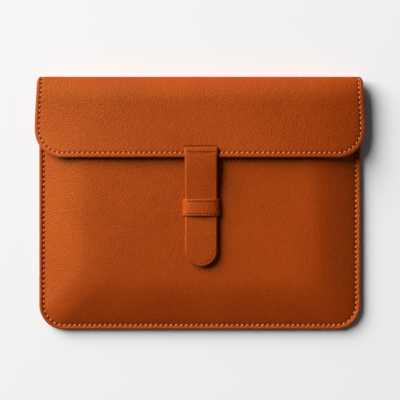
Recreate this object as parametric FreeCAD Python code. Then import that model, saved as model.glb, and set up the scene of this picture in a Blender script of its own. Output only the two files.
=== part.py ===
import FreeCAD, Part
import math
import os

# Padded leather sleeve for a 13-inch notebook, lying on its back.
# Units are mm. +X runs along the width, +Y towards the fold, +Z up through the thickness.
# The origin is the middle of the footprint, on the surface that the back rests on.

# pouch
HALF_W = 174.0          # half of the pouch width
BOTTOM_Y = -136.8       # bottom edge of the pouch
MOUTH_Y = 122.0         # free edge of the front panel, under the flap
CORNER_R = 27.0         # rounded bottom corners
RIM_W = 6.0             # width of the flat stitched rim
RIM_Z = 1.2             # the rim lifts this far off the table
LEATHER = 1.4           # thickness of the outer leather
LINING = 0.6            # thickness of the lining
FRONT_LINING = 0.3      # the front lining is stretched thinner over its padding
FOAM = 2.2              # thickness of the padding
WRAP = 1.2              # front leather turned down over the rim
GLUE = 0.15             # gap left between curved layers
EDGE_GAP = 0.1          # gap between the turned edge and the layers inside it
BACK_FLAT_D = 14.0      # the back leather lies flat from here inwards
FOAM_D = 16.0           # the back padding starts this far from the edge
FOAM_RAMP = 8.0         # width over which the front padding reaches full thickness
FOAM_START_D = 8.5      # the front padding starts this far from the edge
FOAM_MOUTH = 3.0        # the padding stops short of the mouth
TOP_Z = 21.7            # highest level of the front panel
CLEAR_Z = 43.4          # above everything; cutting bodies reach up to here
SLIT_Z = 10.85          # the slits for the keeper are cut down to here
CROWN_D = 56.0          # the front panel is flat from here inwards
DOME_POWER = 2.2        # how fast the crown flattens
LIP_RISE = 2.0          # steeper rise just inside the seam
LIP_W = 8.0             # width of the steeper rise
DOME_STEPS = (6.0, 8.0, 10.5, 14.0, 19.0, 26.0, 35.0, 45.0, 56.0)

# fold between the back and the flap
FOLD_Y = 136.8          # outermost line of the fold
FOLD_R = 9.0            # outside radius of each bend
FLAP_TOP_Z = 26.0       # outside of the flap
SPINE_GAP = 0.3         # gap at both edges of the flat strip between the bends

# flap
FLAP_HALF_W = 176.0
FLAP_FOLD_HALF_W = 174.6
FLAP_SHOULDER_Y = 100.0 # the flap has its full width from here down
FLAP_EDGE_Y = 51.0      # lower edge of the flap
FLAP_CORNER_R = 31.0
FLAP_END_Y = 127.5      # the flap meets its bend here
BOARD = 0.8             # stiffener in the flap
BOARD_INSET = 9.0
DROOP_X = 115.0         # the sides of the flap curve down from here
DROOP = 7.9             # drop of the side edges
SHEET_SPARE = 2.0       # the curved sheet is made this much wider than the flap
DROOP_STATIONS = (      # share of the droop at a distance from the base
    (FLAP_END_Y + 1.0, 0.0),
    (112.0, 0.45),
    (94.0, 0.9),
    (FLAP_EDGE_Y - 2.0, 1.0),
)

# strap
STRAP_HALF_W = 17.25
STRAP_FLARE_HALF_W = 17.95
STRAP_ROOT_Y = 61.9     # upper end, sewn on the flap
STRAP_HINGE_Y = 51.4    # the strap bends here, over the flap edge
STRAP_TIP_Y = -68.9
STRAP_T = 3.0
STRAP_LINING = 1.4
STRAP_START_Y = 51.1
STRAP_FLAT_Y = 31.0     # the strap has come down to the front panel here
STRAP_DROP = 4.0        # the strap steps down this far from the flap

# keeper
KEEPER_HALF_W = 20.3
KEEPER_TOP_Y = 5.1
KEEPER_BOTTOM_Y = -13.3
KEEPER_TOP_Z = 27.3
KEEPER_LEATHER = 1.2
KEEPER_LINING = 0.7
KEEPER_SHOULDER_R = 3.8
SLIT_GAP = 0.1

# thread
THREAD_D = 0.9
STITCH_INSET = 5.4
STITCH_PITCH = 5.5
STITCH_LENGTH = 3.4
STITCH_SLANT = 20.0     # degrees between a stitch and its seam
FINE_D = 0.7
FINE_PITCH = 3.9
FINE_LENGTH = 2.7
FINE_HALF_ROW = 14.0
ANCHOR_ROW_Y = 55.9
KEEPER_ROW_INSET = 2.6
TIP_INSET = 3.4
MOUTH_ROW_INSET = 4.0
MOUTH_HALF_ROW = 116.0
GROOVE_DEPTH = 0.6
GROOVE_W = 1.3
SPINE_GROOVE = 0.96     # depth of the channels for the thread on the spine

V = FreeCAD.Vector
UP = V(0, 0, 1)


def line(a, b):
    """Straight edge between two points."""
    return Part.LineSegment(a, b).toShape()


def arc(a, b, c):
    """Arc from a to c through b."""
    return Part.Arc(a, b, c).toShape()


def outline(half_w, bottom, top, radius, z):
    """Closed wire with a straight top edge and two rounded lower corners."""
    k = radius * (1.0 - math.sqrt(0.5))
    side = bottom + radius
    toe = half_w - radius
    left_mid = V(-half_w + k, bottom + k, z)
    right_mid = V(half_w - k, bottom + k, z)
    edges = [
        line(V(-half_w, top, z), V(-half_w, side, z)),
        arc(V(-half_w, side, z), left_mid, V(-toe, bottom, z)),
        line(V(-toe, bottom, z), V(toe, bottom, z)),
        arc(V(toe, bottom, z), right_mid, V(half_w, side, z)),
        line(V(half_w, side, z), V(half_w, top, z)),
        line(V(half_w, top, z), V(-half_w, top, z)),
    ]
    return Part.Wire(edges)


def pouch_wire(inset, z, top=MOUTH_Y):
    """Outline of the pouch, drawn in from its edge; the mouth side stays put."""
    radius = max(CORNER_R - inset, CORNER_R - RIM_W)
    return outline(HALF_W - inset, BOTTOM_Y + inset, top, radius, z)


def slab(wire, height):
    """Flat plate standing on a wire."""
    return Part.Face(wire).extrude(UP * height)


def pouch_slab(inset, z0, z1, top=MOUTH_Y):
    return slab(pouch_wire(inset, z0, top), z1 - z0)


def box(x0, x1, y0, y1, z0, z1):
    return Part.makeBox(x1 - x0, y1 - y0, z1 - z0, V(x0, y0, z0))


# ---------------------------------------------------------------- pouch panels


def front_height(d):
    """Outer surface of the front panel at a distance from the edge."""
    rim_top = RIM_Z + 2.0 * LEATHER + 2.0 * LINING
    across = min((d - RIM_W) / (CROWN_D - RIM_W), 1.0)
    near = min((d - RIM_W) / LIP_W, 1.0)
    dome = (TOP_Z - rim_top - LIP_RISE) * (1.0 - (1.0 - across) ** DOME_POWER)
    lip = LIP_RISE * (1.0 - (1.0 - near) ** 2)
    return rim_top + dome + lip


def foam_share(d):
    """How much of the padding thickness is present at a distance from the edge."""
    return min(max((d - RIM_W) / FOAM_RAMP, 0.0), 1.0)


def heap(inset, floor, drop, foam_drop, top):
    """Solid under a copy of the domed surface, lowered by a fixed and a padded amount."""
    rim_top = front_height(RIM_W) - drop
    base = pouch_slab(inset, floor, rim_top, top)
    wires = []
    for d in DOME_STEPS:
        z = front_height(d) - drop - foam_drop * foam_share(d)
        wires.append(pouch_wire(d, z, top))
    dome = Part.makeLoft(wires, True, True)
    return base.fuse(dome)


def keeper_slits():
    """Two openings that the ends of the keeper pass through."""
    outer = KEEPER_HALF_W + SLIT_GAP
    inner = KEEPER_HALF_W - KEEPER_LEATHER - KEEPER_LINING - 2.0 * SLIT_GAP
    y0 = KEEPER_BOTTOM_Y - SLIT_GAP
    y1 = KEEPER_TOP_Y + SLIT_GAP
    right = box(inner, outer, y0, y1, SLIT_Z, CLEAR_Z)
    left = box(-outer, -inner, y0, y1, SLIT_Z, CLEAR_Z)
    return right.fuse(left)


def mouth_groove():
    """Shallow channel that the thread along the mouth lies in."""
    y = MOUTH_Y - MOUTH_ROW_INSET
    x = MOUTH_HALF_ROW + STITCH_PITCH
    return box(-x, x, y - GROOVE_W / 2, y + GROOVE_W / 2, TOP_Z - GROOVE_DEPTH, CLEAR_Z)


def front_panel():
    """Domed outer leather with its edge turned down around three sides."""
    outside = heap(0.0, RIM_Z, 0.0, 0.0, MOUTH_Y)
    inside = heap(WRAP, 0.0, LEATHER, 0.0, MOUTH_Y + LEATHER)
    return outside.cut(inside).cut(keeper_slits()).cut(mouth_groove())


def front_padding():
    """Foam under the front leather."""
    top = MOUTH_Y - FOAM_MOUTH
    upper = heap(WRAP, RIM_Z, LEATHER + GLUE, 0.0, top)
    lower = heap(0.0, 0.0, LEATHER + GLUE, FOAM, top + LEATHER)
    return upper.cut(lower).common(pouch_slab(FOAM_START_D, 0.0, TOP_Z, top))


def front_lining():
    """Soft lining on the inside of the front padding."""
    inset = WRAP + EDGE_GAP
    drop = LEATHER + 2.0 * GLUE
    upper = heap(inset, RIM_Z, drop, FOAM, MOUTH_Y)
    lower = heap(0.0, 0.0, drop + FRONT_LINING, FOAM, MOUTH_Y + LEATHER)
    return upper.cut(lower)


def bowl(inset, lift, top):
    """Solid above the underside of the back, raised by lift."""
    low = pouch_wire(BACK_FLAT_D, lift, top)
    high = pouch_wire(RIM_W, RIM_Z + lift, top)
    dish = Part.makeLoft([low, high], True, True)
    rim = pouch_slab(inset, RIM_Z + lift, TOP_Z, top)
    return dish.fuse(rim)


def back_panel():
    """Outer leather of the back; it runs past the mouth as far as the fold."""
    end = FOLD_Y - FOLD_R - SPINE_GAP
    leather = bowl(WRAP + EDGE_GAP, 0.0, end)
    return leather.cut(bowl(0.0, LEATHER, end + LEATHER))


def back_padding():
    """Flat foam pad inside the back."""
    return pouch_slab(FOAM_D, LEATHER, LEATHER + FOAM, MOUTH_Y - FOAM_MOUTH)


def mound(inset, floor, rim, middle, top):
    """Solid under a surface that climbs from the rim to the flat pad."""
    climb = Part.makeLoft([pouch_wire(RIM_W, rim, top), pouch_wire(FOAM_D, middle, top)], True, True)
    return pouch_slab(inset, floor, rim, top).fuse(climb)


def back_lining():
    """Lining over the back padding."""
    rim = RIM_Z + LEATHER
    middle = LEATHER + FOAM
    upper = mound(WRAP + EDGE_GAP, 0.0, rim + LINING, middle + LINING, MOUTH_Y)
    lower = mound(0.0, -LEATHER, rim, middle, MOUTH_Y + LEATHER)
    return upper.cut(lower)


# ---------------------------------------------------------------- the fold


def bend(outer_r, inner_r, center_z, start_deg, half_w):
    """Quarter of a tube across the full width, starting at an angle from +Y."""
    cy = FOLD_Y - FOLD_R
    points = []
    for radius in (outer_r, inner_r):
        ring = []
        for step in (0.0, 45.0, 90.0):
            a = math.radians(start_deg + step)
            ring.append(V(-half_w, cy + radius * math.cos(a), center_z + radius * math.sin(a)))
        points.append(ring)
    out, inn = points
    wire = Part.Wire([arc(*out), line(out[2], inn[2]), arc(inn[2], inn[1], inn[0]), line(inn[0], out[0])])
    return Part.Face(wire).extrude(V(2.0 * half_w, 0, 0))


def back_fold_leather():
    """Outer leather turning up from the back."""
    return bend(FOLD_R, FOLD_R - LEATHER, FOLD_R, -90.0, HALF_W - WRAP)


def back_fold_lining():
    """Lining turning up from the mouth into the fold."""
    outer = FOLD_R - LEATHER - GLUE
    curve = bend(outer, outer - LINING, FOLD_R, -90.0, HALF_W - WRAP)
    z0 = LEATHER + GLUE
    half = HALF_W - FOAM_D
    apron = box(-half, half, MOUTH_Y + SPINE_GAP, FOLD_Y - FOLD_R, z0, z0 + LINING)
    return curve.fuse(apron)


def front_fold_leather():
    """Outer leather turning over into the flap."""
    return bend(FOLD_R, FOLD_R - LEATHER, FLAP_TOP_Z - FOLD_R, 0.0, HALF_W)


def front_fold_lining():
    outer = FOLD_R - LEATHER - GLUE
    return bend(outer, outer - LINING, FLAP_TOP_Z - FOLD_R, 0.0, HALF_W - WRAP)


def spine_row_x():
    return HALF_W - STITCH_INSET


def spine_leather():
    """Flat strip of leather between the two bends, with a channel for its thread."""
    z0 = FOLD_R + SPINE_GAP
    z1 = FLAP_TOP_Z - FOLD_R - SPINE_GAP
    strip = box(-HALF_W, HALF_W, FOLD_Y - LEATHER, FOLD_Y, z0, z1)
    for x in (-spine_row_x(), spine_row_x()):
        y0 = FOLD_Y - SPINE_GROOVE
        groove = box(x - GROOVE_W, x + GROOVE_W, y0, FOLD_Y + LEATHER, z0 - LEATHER, z1 + LEATHER)
        strip = strip.cut(groove)
    return strip


def spine_lining():
    z0 = FOLD_R + SPINE_GAP
    z1 = FLAP_TOP_Z - FOLD_R - SPINE_GAP
    half = HALF_W - WRAP
    y1 = FOLD_Y - LEATHER - GLUE
    return box(-half, half, y1 - LINING, y1, z0, z1)


# ---------------------------------------------------------------- flap


def flap_outline(inset, z):
    """Plan of the flap: nearly straight sides and two large lower corners."""
    w = FLAP_HALF_W - inset
    wf = FLAP_FOLD_HALF_W - inset
    r = FLAP_CORNER_R - inset
    k = r * (1.0 - math.sqrt(0.5))
    low = FLAP_EDGE_Y + inset
    right = [V(w, low + r, z), V(w - k, low + k, z), V(w - r, low, z)]
    left = [V(-p.x, p.y, z) for p in right]
    shoulder = V(w, FLAP_SHOULDER_Y, z)
    fold = V(wf, FLAP_END_Y, z)
    mirror = [V(-shoulder.x, shoulder.y, z), V(-fold.x, fold.y, z)]
    edges = [
        line(fold, shoulder),
        line(shoulder, right[0]),
        arc(*right),
        line(right[2], left[2]),
        arc(left[2], left[1], left[0]),
        line(left[0], mirror[0]),
        line(mirror[0], mirror[1]),
        line(mirror[1], fold),
    ]
    return Part.Wire(edges)


def flap_section(y, share, z0, z1):
    """Cross-section of the flap: flat, with both sides curving down."""
    half = FLAP_HALF_W + SHEET_SPARE
    mid = (DROOP_X + half) / 2.0
    edges = []
    for z, order in ((z1, 1), (z0, -1)):
        left = [V(-half, y, z - DROOP * share), V(-mid, y, z - DROOP * share / 4), V(-DROOP_X, y, z)]
        right = [V(DROOP_X, y, z), V(mid, y, z - DROOP * share / 4), V(half, y, z - DROOP * share)]
        if order < 0:
            left, right = right[::-1], left[::-1]
        for three in (left, right):
            side = arc(*three) if share > 0 else line(three[0], three[2])
            edges.append(side)
            if three is left:
                edges.append(line(left[2], right[0]))
        end = V(half * order, y, z - DROOP * share)
        edges.append(line(end, V(half * order, y, z0 + z1 - z - DROOP * share)))
    return Part.Wire(edges)


def flap_sheet(z0, z1):
    """Flap-shaped layer between two levels, before it is cut to its plan."""
    sections = [flap_section(y, share, z0, z1) for y, share in DROOP_STATIONS]
    return Part.makeLoft(sections, True, True)


def flap_cut(inset):
    return slab(flap_outline(inset, 0.0), CLEAR_Z)


def flap_levels():
    """Underside of the lining, of the board and of the leather."""
    under = FLAP_TOP_Z - LEATHER - BOARD - LINING
    return under, under + LINING, under + LINING + BOARD


def flap_leather():
    """Outer leather of the flap, with its edge turned down."""
    under, _, top = flap_levels()
    whole = flap_sheet(under, FLAP_TOP_Z).common(flap_cut(0.0))
    core = flap_sheet(under - LEATHER, top).common(flap_cut(WRAP))
    half = FLAP_HALF_W + SHEET_SPARE
    end = box(-half, half, FLAP_END_Y - LEATHER, FLAP_END_Y + LEATHER, under - LEATHER, top)
    return whole.cut(core).cut(end)


def flap_board():
    """Stiffener between the leather and the lining of the flap."""
    _, mid, top = flap_levels()
    return flap_sheet(mid + GLUE / 2, top - GLUE / 2).common(flap_cut(BOARD_INSET))


def flap_lining():
    under, mid, _ = flap_levels()
    return flap_sheet(under, mid - GLUE / 2).common(flap_cut(WRAP + EDGE_GAP))


def droop_at(x, share=1.0):
    """Drop of the flap surface at a distance from the middle."""
    reach = max(abs(x) - DROOP_X, 0.0) / (FLAP_HALF_W + SHEET_SPARE - DROOP_X)
    return DROOP * share * reach ** 2


# ---------------------------------------------------------------- strap


def strap_plan(y_top, flare):
    """Plan of the strap with a full-round tip; the root is slightly flared."""
    w = STRAP_HALF_W
    cy = STRAP_TIP_Y + w
    top_w = STRAP_FLARE_HALF_W if flare else w
    edges = [
        line(V(-top_w, y_top, 0), V(-w, STRAP_FLAT_Y, 0)),
        line(V(-w, STRAP_FLAT_Y, 0), V(-w, cy, 0)),
        arc(V(-w, cy, 0), V(0, STRAP_TIP_Y, 0), V(w, cy, 0)),
        line(V(w, cy, 0), V(w, STRAP_FLAT_Y, 0)),
        line(V(w, STRAP_FLAT_Y, 0), V(top_w, y_top, 0)),
        line(V(top_w, y_top, 0), V(-top_w, y_top, 0)),
    ]
    return slab(Part.Wire(edges), CLEAR_Z)


def strap_side(low, high):
    """Side view of the free strap between two offsets above its underside."""
    mid_y = (STRAP_START_Y + STRAP_FLAT_Y) / 2.0
    quarter = (STRAP_START_Y - STRAP_FLAT_Y) / 4.0
    root_z = FLAP_TOP_Z
    flat_z = FLAP_TOP_Z - STRAP_DROP
    sag = STRAP_DROP / 8.0
    x = -STRAP_FLARE_HALF_W - STRAP_T
    end_y = STRAP_TIP_Y - STRAP_T
    curves = []
    for lift in (low, high):
        a = V(x, STRAP_START_Y, root_z + lift)
        b = V(x, mid_y + quarter, root_z + lift - sag)
        c = V(x, mid_y, root_z + lift - STRAP_DROP / 2)
        d = V(x, mid_y - quarter, flat_z + lift + sag)
        e = V(x, STRAP_FLAT_Y, flat_z + lift)
        f = V(x, end_y, flat_z + lift)
        curves.append((a, b, c, d, e, f))
    lo, hi = curves
    edges = [
        arc(lo[0], lo[1], lo[2]),
        arc(lo[2], lo[3], lo[4]),
        line(lo[4], lo[5]),
        line(lo[5], hi[5]),
        line(hi[5], hi[4]),
        arc(hi[4], hi[3], hi[2]),
        arc(hi[2], hi[1], hi[0]),
        line(hi[0], lo[0]),
    ]
    return Part.Face(Part.Wire(edges)).extrude(V(-2.0 * x, 0, 0))


def strap_leather():
    """Outer leather of the free strap."""
    return strap_side(STRAP_LINING + GLUE, STRAP_T).common(strap_plan(STRAP_START_Y, False))


def strap_lining():
    """Second layer of leather on the underside of the strap."""
    return strap_side(0.0, STRAP_LINING).common(strap_plan(STRAP_START_Y, False))


def strap_root_piece(low, high):
    w = STRAP_FLARE_HALF_W
    return box(-w, w, STRAP_HINGE_Y, STRAP_ROOT_Y, FLAP_TOP_Z + low, FLAP_TOP_Z + high)


def strap_root_leather():
    """Sewn end of the strap, outer layer."""
    return strap_root_piece(STRAP_LINING, STRAP_T)


def strap_root_lining():
    """Sewn end of the strap, layer against the flap."""
    return strap_root_piece(0.0, STRAP_LINING)


# ---------------------------------------------------------------- keeper


def arch(half_w, top, radius):
    """Section of the keeper: two legs joined by rounded shoulders and a flat top."""
    k = radius * (1.0 - math.sqrt(0.5))
    foot = TOP_Z - LEATHER
    y = KEEPER_BOTTOM_Y
    edges = [
        line(V(-half_w, y, foot), V(-half_w, y, top - radius)),
        arc(V(-half_w, y, top - radius), V(-half_w + k, y, top - k), V(-half_w + radius, y, top)),
        line(V(-half_w + radius, y, top), V(half_w - radius, y, top)),
        arc(V(half_w - radius, y, top), V(half_w - k, y, top - k), V(half_w, y, top - radius)),
        line(V(half_w, y, top - radius), V(half_w, y, foot)),
        line(V(half_w, y, foot), V(-half_w, y, foot)),
    ]
    length = KEEPER_TOP_Y - KEEPER_BOTTOM_Y
    return Part.Face(Part.Wire(edges)).extrude(V(0, length, 0))


def keeper_layer(depth, thickness):
    """One layer of the keeper, between two depths below its outer surface."""
    inner = depth + thickness
    outside = arch(KEEPER_HALF_W - depth, KEEPER_TOP_Z - depth, KEEPER_SHOULDER_R - depth)
    inside = arch(KEEPER_HALF_W - inner, KEEPER_TOP_Z - inner, KEEPER_SHOULDER_R - inner)
    return outside.cut(inside)


def keeper_band():
    """Outer leather loop over the strap."""
    return keeper_layer(0.0, KEEPER_LEATHER)


def keeper_lining():
    """Inner layer of the loop."""
    return keeper_layer(KEEPER_LEATHER + SLIT_GAP, KEEPER_LINING)


# ---------------------------------------------------------------- thread


def stitch(point, direction, length, diameter):
    """One short length of thread, centred on a point."""
    d = V(direction)
    d.normalize()
    start = point - d * (length / 2.0)
    return Part.makeCylinder(diameter / 2.0, length, start, d)


def along(wire, pitch):
    """Evenly spread points and directions along a wire of edges."""
    total = sum(e.Length for e in wire.Edges)
    count = max(int(round(total / pitch)), 1)
    step = total / count
    spots = []
    for i in range(count):
        s = (i + 0.5) * step
        for e in wire.OrderedEdges:
            if s <= e.Length:
                u = e.getParameterByLength(s if e.Orientation == "Forward" else e.Length - s)
                t = e.tangentAt(u)
                spots.append((e.valueAt(u), t if e.Orientation == "Forward" else t * -1))
                break
            s -= e.Length
    return spots


def slanted(tangent):
    """Direction of a stitch that leans across its seam."""
    return FreeCAD.Rotation(UP, STITCH_SLANT).multVec(tangent)


def seam_path(z):
    """Line of the pouch seam from mouth to mouth around the bottom."""
    w = HALF_W - STITCH_INSET
    low = BOTTOM_Y + STITCH_INSET
    r = CORNER_R - STITCH_INSET
    k = r * (1.0 - math.sqrt(0.5))
    edges = [
        line(V(-w, MOUTH_Y, z), V(-w, low + r, z)),
        arc(V(-w, low + r, z), V(-w + k, low + k, z), V(-w + r, low, z)),
        line(V(-w + r, low, z), V(w - r, low, z)),
        arc(V(w - r, low, z), V(w - k, low + k, z), V(w, low + r, z)),
        line(V(w, low + r, z), V(w, MOUTH_Y, z)),
    ]
    return Part.Wire(edges)


def seam_row(z):
    spots = along(seam_path(z), STITCH_PITCH)
    return Part.makeCompound([stitch(p, slanted(t), STITCH_LENGTH, THREAD_D) for p, t in spots])


def front_seam_stitches():
    """Thread on the front of the rim."""
    return seam_row(front_height(RIM_W) + THREAD_D / 2)


def back_seam_stitches():
    """The same seam on the underside of the rim."""
    return seam_row(RIM_Z - THREAD_D / 2)


def flap_path():
    """Line of the flap seam, from fold to fold around its lower edge."""
    w = FLAP_HALF_W - STITCH_INSET
    wf = FLAP_FOLD_HALF_W - STITCH_INSET
    r = FLAP_CORNER_R - STITCH_INSET
    k = r * (1.0 - math.sqrt(0.5))
    low = FLAP_EDGE_Y + STITCH_INSET
    end = FLAP_END_Y - STITCH_LENGTH / 2
    edges = [
        line(V(-wf, end, 0), V(-w, FLAP_SHOULDER_Y, 0)),
        line(V(-w, FLAP_SHOULDER_Y, 0), V(-w, low + r, 0)),
        arc(V(-w, low + r, 0), V(-w + k, low + k, 0), V(-w + r, low, 0)),
        line(V(-w + r, low, 0), V(w - r, low, 0)),
        arc(V(w - r, low, 0), V(w - k, low + k, 0), V(w, low + r, 0)),
        line(V(w, low + r, 0), V(w, FLAP_SHOULDER_Y, 0)),
        line(V(w, FLAP_SHOULDER_Y, 0), V(wf, end, 0)),
    ]
    return Part.Wire(edges)


def droop_share(y):
    """How far the droop has developed at a distance from the fold."""
    for (ya, sa), (yb, sb) in zip(DROOP_STATIONS, DROOP_STATIONS[1:]):
        if y >= yb:
            return sa + (sb - sa) * (ya - y) / (ya - yb)
    return 1.0


def flap_row(level, clear_strap):
    """Stitches that follow the drooping surface of the flap."""
    row = []
    for p, t in along(flap_path(), STITCH_PITCH):
        if clear_strap and abs(p.x) < STRAP_FLARE_HALF_W + STITCH_PITCH / 2 and p.y < STRAP_ROOT_Y:
            continue
        drop = droop_at(p.x, droop_share(p.y))
        d = slanted(t)
        slope = droop_at(p.x + d.x, droop_share(p.y + d.y)) - drop
        row.append(stitch(V(p.x, p.y, level - drop), V(d.x, d.y, -slope), STITCH_LENGTH, THREAD_D))
    return Part.makeCompound(row)


def flap_stitches():
    """Thread around the outside of the flap; it stops at both sides of the strap."""
    return flap_row(FLAP_TOP_Z + THREAD_D / 2 + GLUE, True)


def flap_inner_stitches():
    """The same seam on the inside of the flap."""
    return flap_row(flap_levels()[0] - THREAD_D / 2 - GLUE, False)


def spine_stitches():
    """Thread along both ends of the strip between the bends."""
    z0 = FOLD_R + SPINE_GAP
    z1 = FLAP_TOP_Z - FOLD_R - SPINE_GAP
    y = FOLD_Y - THREAD_D / 2
    row = []
    for x in (-spine_row_x(), spine_row_x()):
        for z in (z0 + (z1 - z0) / 4, z1 - (z1 - z0) / 4):
            row.append(stitch(V(x, y, z), UP, (z1 - z0) / 2.5, THREAD_D))
    return Part.makeCompound(row)


def straight_row(half_row, y, z, pitch, length, diameter):
    """Stitches in a straight line across the width."""
    count = int(round(2.0 * half_row / pitch))
    step = 2.0 * half_row / count
    across = V(1, 0, 0)
    row = []
    for i in range(count):
        x = -half_row + (i + 0.5) * step
        row.append(stitch(V(x, y, z), across, length, diameter))
    return row


def mouth_stitches():
    """Thread that holds the lining along the mouth."""
    z = TOP_Z - GROOVE_DEPTH + THREAD_D / 2
    y = MOUTH_Y - MOUTH_ROW_INSET
    return Part.makeCompound(straight_row(MOUTH_HALF_ROW, y, z, STITCH_PITCH, STITCH_LENGTH, THREAD_D))


def strap_anchor_stitches():
    """Row that sews the strap to the flap."""
    z = FLAP_TOP_Z + STRAP_T + FINE_D / 2
    return Part.makeCompound(straight_row(FINE_HALF_ROW, ANCHOR_ROW_Y, z, FINE_PITCH, FINE_LENGTH, FINE_D))


def keeper_stitches():
    """A row along each edge of the keeper."""
    z = KEEPER_TOP_Z + FINE_D / 2
    rows = []
    for y in (KEEPER_TOP_Y - KEEPER_ROW_INSET, KEEPER_BOTTOM_Y + KEEPER_ROW_INSET):
        rows.extend(straight_row(FINE_HALF_ROW, y, z, FINE_PITCH, FINE_LENGTH, FINE_D))
    return Part.makeCompound(rows)


def strap_tip_stitches():
    """Row that follows the round tip of the strap."""
    r = STRAP_HALF_W - TIP_INSET
    cy = STRAP_TIP_Y + STRAP_HALF_W
    z = FLAP_TOP_Z - STRAP_DROP + STRAP_T + FINE_D / 2
    path = Part.Wire([arc(V(-r, cy, z), V(0, cy - r, z), V(r, cy, z))])
    return Part.makeCompound([stitch(p, t, FINE_LENGTH, FINE_D) for p, t in along(path, FINE_PITCH)])


PARTS = {
    "back_panel": back_panel,
    "back_padding": back_padding,
    "back_lining": back_lining,
    "front_panel": front_panel,
    "front_padding": front_padding,
    "front_lining": front_lining,
    "front_seam_stitches": front_seam_stitches,
    "back_seam_stitches": back_seam_stitches,
    "mouth_stitches": mouth_stitches,
    "keeper_band": keeper_band,
    "keeper_lining": keeper_lining,
    "keeper_stitches": keeper_stitches,
    "back_fold_leather": back_fold_leather,
    "back_fold_lining": back_fold_lining,
    "spine_leather": spine_leather,
    "spine_lining": spine_lining,
    "spine_stitches": spine_stitches,
    "front_fold_leather": front_fold_leather,
    "front_fold_lining": front_fold_lining,
    "flap_leather": flap_leather,
    "flap_board": flap_board,
    "flap_lining": flap_lining,
    "flap_stitches": flap_stitches,
    "flap_inner_stitches": flap_inner_stitches,
    "strap_root_leather": strap_root_leather,
    "strap_root_lining": strap_root_lining,
    "strap_anchor_stitches": strap_anchor_stitches,
    "strap_leather": strap_leather,
    "strap_lining": strap_lining,
    "strap_tip_stitches": strap_tip_stitches,
}

os.makedirs("parts", exist_ok=True)
for name, make in PARTS.items():
    shape = make()
    shape.exportStep(os.path.join("parts", name + ".step"))
    extent = shape.BoundBox
    size = "%.1f x %.1f x %.1f" % (extent.XLength, extent.YLength, extent.ZLength)
    print(name, len(shape.Solids), "solids", shape.isValid(), size)
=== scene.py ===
import math

import bmesh
import bpy
import numpy as np
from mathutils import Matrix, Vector, noise


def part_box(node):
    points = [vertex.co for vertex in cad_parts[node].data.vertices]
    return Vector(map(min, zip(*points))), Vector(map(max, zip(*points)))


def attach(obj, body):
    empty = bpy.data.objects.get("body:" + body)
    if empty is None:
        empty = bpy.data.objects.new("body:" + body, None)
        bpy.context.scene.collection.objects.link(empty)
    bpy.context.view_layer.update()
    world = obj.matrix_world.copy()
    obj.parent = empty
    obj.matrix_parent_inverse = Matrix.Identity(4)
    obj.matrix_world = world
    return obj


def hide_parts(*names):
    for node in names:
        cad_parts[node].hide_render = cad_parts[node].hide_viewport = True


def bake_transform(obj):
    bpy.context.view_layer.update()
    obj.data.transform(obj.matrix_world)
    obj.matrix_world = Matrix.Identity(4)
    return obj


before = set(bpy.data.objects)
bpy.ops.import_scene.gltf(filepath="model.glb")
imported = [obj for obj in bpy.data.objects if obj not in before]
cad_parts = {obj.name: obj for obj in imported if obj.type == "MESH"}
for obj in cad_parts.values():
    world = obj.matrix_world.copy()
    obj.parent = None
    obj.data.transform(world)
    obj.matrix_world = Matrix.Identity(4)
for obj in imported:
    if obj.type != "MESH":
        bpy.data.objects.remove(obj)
scene = bpy.context.scene
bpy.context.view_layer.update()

# Lengths below are in millimetres; make_mesh turns them into metres.
MM = 0.001


def box_mm(node):
    """Lowest and highest corner of a CAD node, in millimetres."""
    low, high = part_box(node)
    return np.array(low) / MM, np.array(high) / MM


# ---- sizes from the frame

front_low, front_high = box_mm("front_panel")
flap_low, flap_high = box_mm("flap_leather")
fold_high = box_mm("spine_leather")[1]
strap_low, strap_high = box_mm("strap_leather")
strap_under_z = box_mm("strap_lining")[0][2]
root_low, root_high = box_mm("strap_root_leather")
root_under_z = box_mm("strap_root_lining")[0][2]
keeper_low, keeper_high = box_mm("keeper_band")
foam_low, foam_high = box_mm("back_padding")

POUCH_W = front_high[0] + 0.4  # half width of the pouch, with its edge paint
BOTTOM_Y = front_low[1]
MOUTH_Y = front_high[1]
TOP_Z = front_high[2] + 0.6  # front panel, highest level when filled
RIM_Z = front_low[2] + 1.4  # underside of the rim
TABLE_GAP = 0.02  # no leather of the front comes closer to the table
FLAP_W = flap_high[0] + 2.5  # half width of the flap, which overhangs the pouch
FLAP_EDGE_Y = flap_low[1] - 1.9  # lower edge of the flap
FLAP_TOP_Z = flap_high[2]
FOLD_Y = fold_high[1]
FOLD_W = fold_high[0]
STRAP_W = strap_high[0] + 0.3
STRAP_X = 1.3  # the strap sits this far to the right
STRAP_TIP_Y = strap_low[1] + 1.4
ROOT_Y = root_high[1] - 1.4  # top edge of the strap, on the flap
HINGE_Y = root_low[1]  # the strap lifts at this line

LEATHER = 1.4
LINING = 0.6
FOAM = foam_high[2] - foam_low[2]
SHOWN_LEATHER = 1.15  # leather thickness inwards from the drawn outer face
SHOWN_LINING = 0.5
RIM_W = 6.0
RIM_TOP_Z = RIM_Z + 2 * LEATHER + 2 * LINING
CORNER_R = 27.0
FLAP_CORNER_R = 31.0
CROWN_D = 53.0  # the slope of the dome ends this far in
DOME_POWER = 1.52
LIP_RISE = 0.2
LIP_W = 8.0
SEAM_SINK = 0.4
PAD_START = 12.0  # the padding swells the leather from here inwards
PAD_EASE = 40.0
RIM_DOWN_Y = 85.0  # from here to the mouth the rim comes down to the table
RIM_DOWN_LEN = 35.0
MOUTH_ROW_Y = MOUTH_Y - 4.0  # row of thread along the mouth
BEND_R = 9.0
SOFT_BEND_R = 44.0
SOFT_BEND = math.radians(38)
TIGHT_BEND_R = 5.0
FOLD_DROOP = 0.62  # share of the droop that reaches the fold
FOLD_CORNER_R = 4.5
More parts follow.
